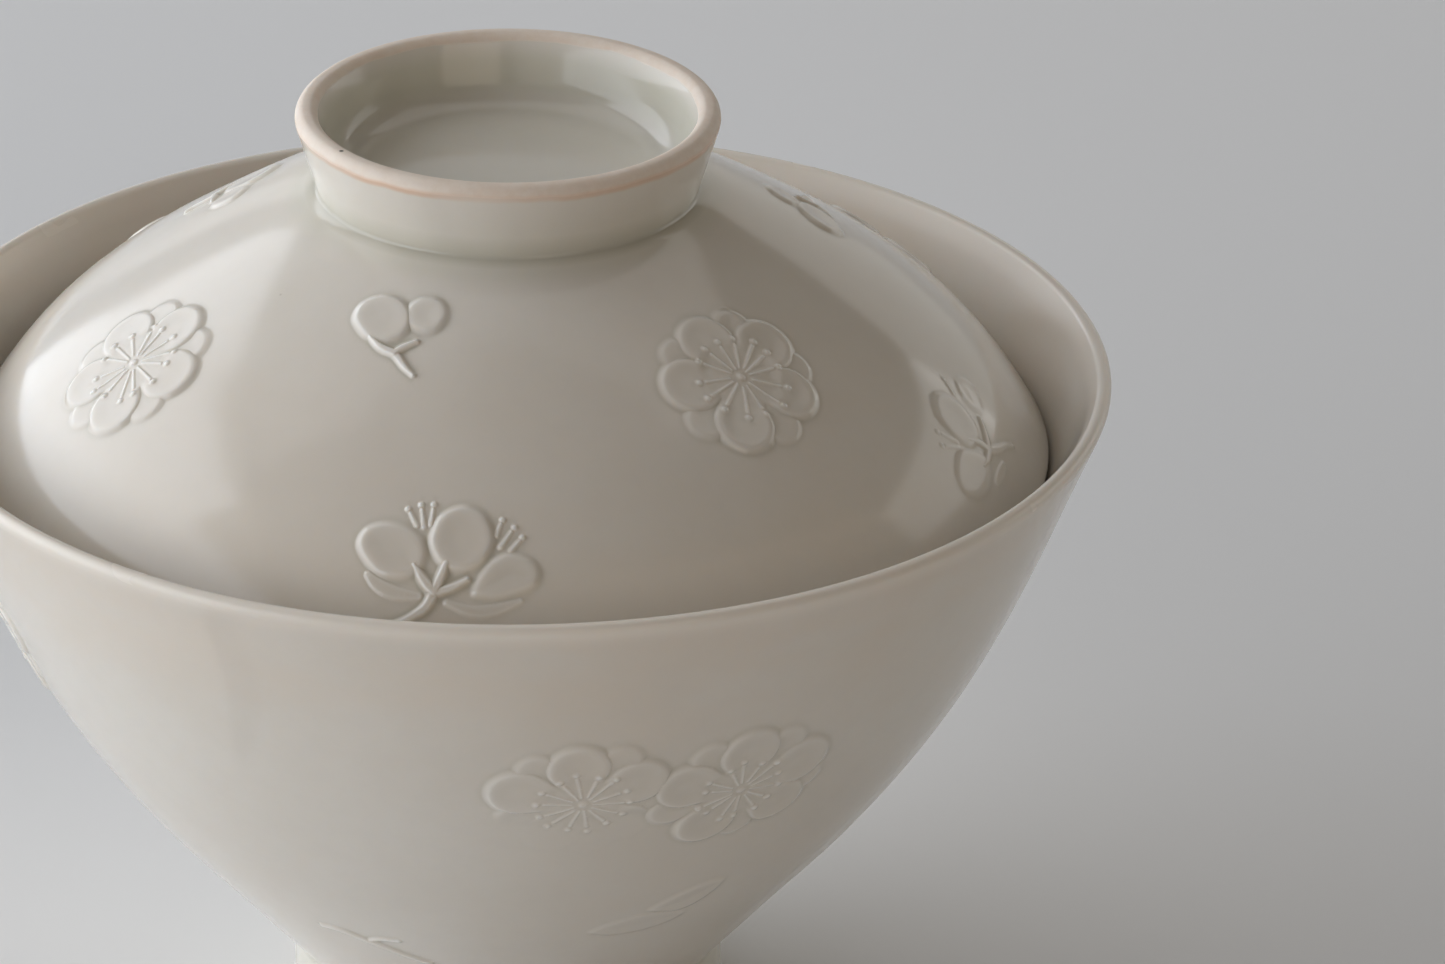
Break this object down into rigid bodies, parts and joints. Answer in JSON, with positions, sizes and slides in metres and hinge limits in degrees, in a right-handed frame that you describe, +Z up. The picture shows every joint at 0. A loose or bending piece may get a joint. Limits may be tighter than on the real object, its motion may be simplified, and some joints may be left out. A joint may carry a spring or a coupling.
{
  "type": "lidded rice bowl",
  "caption": "White porcelain rice bowl with a flared conical wall on a foot ring, and a domed lid with a ring knob sitting inside its mouth; raised plum sprigs on both.",
  "frame": {"origin": "centre of the foot ring's standing face, on the table", "axes": "+Z up along the common axis of bowl and lid; -Y faces the viewer, with two of the lid's plum blossoms left and right of it"},
  "size_m": [0.12, 0.12, 0.0985],
  "materials": {
    "glazed_porcelain": "gloss",
    "glazed_relief": "gloss"
  },
  "bodies": {
    "bowl": {"bowl": "glazed_porcelain", "bowl_plum_blossoms": "glazed_relief", "bowl_leaf_sprays": "glazed_relief"},
    "lid": {"lid": "glazed_porcelain", "lid_plum_blossoms": "glazed_relief", "lid_side_blossoms": "glazed_relief", "lid_plum_buds": "glazed_relief"}
  },
  "joints": [
    {"name": "lid_lift", "type": "slide", "parent": "bowl", "child": "lid", "axis": [0, 0, 1], "range_m": [0, 0.06]}
  ]
}
